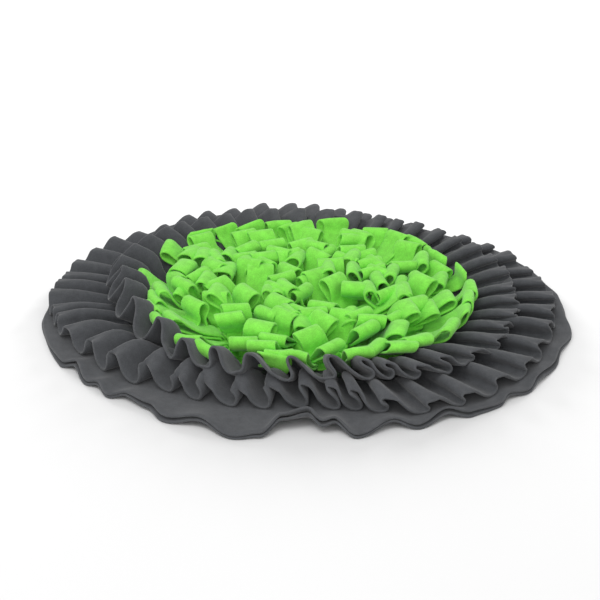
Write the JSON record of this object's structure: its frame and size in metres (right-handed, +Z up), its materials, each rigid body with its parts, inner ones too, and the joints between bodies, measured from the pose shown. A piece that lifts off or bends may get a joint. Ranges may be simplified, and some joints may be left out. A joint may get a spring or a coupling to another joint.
{
  "type": "snuffle mat",
  "caption": "Round fleece snuffle mat: a dense pile of folded strips inside two gathered frills on layered round base cloths.",
  "frame": {"origin": "middle of the underside, at the height of the surface that the mat lies on", "axes": "+Z up out of the pile, +X to the right and -Y towards the viewer in the picture"},
  "size_m": [0.5238, 0.509, 0.0525],
  "materials": {
    "charcoal_fleece": "matt anti-pill fleece, charcoal grey",
    "lime_fleece": "matt anti-pill fleece, lime green"
  },
  "bodies": {
    "root": {"base_cloth": "charcoal_fleece", "top_cloth": "charcoal_fleece", "outer_frill": "charcoal_fleece", "inner_frill": "charcoal_fleece", "loop_pile": "lime_fleece"}
  },
  "joints": []
}
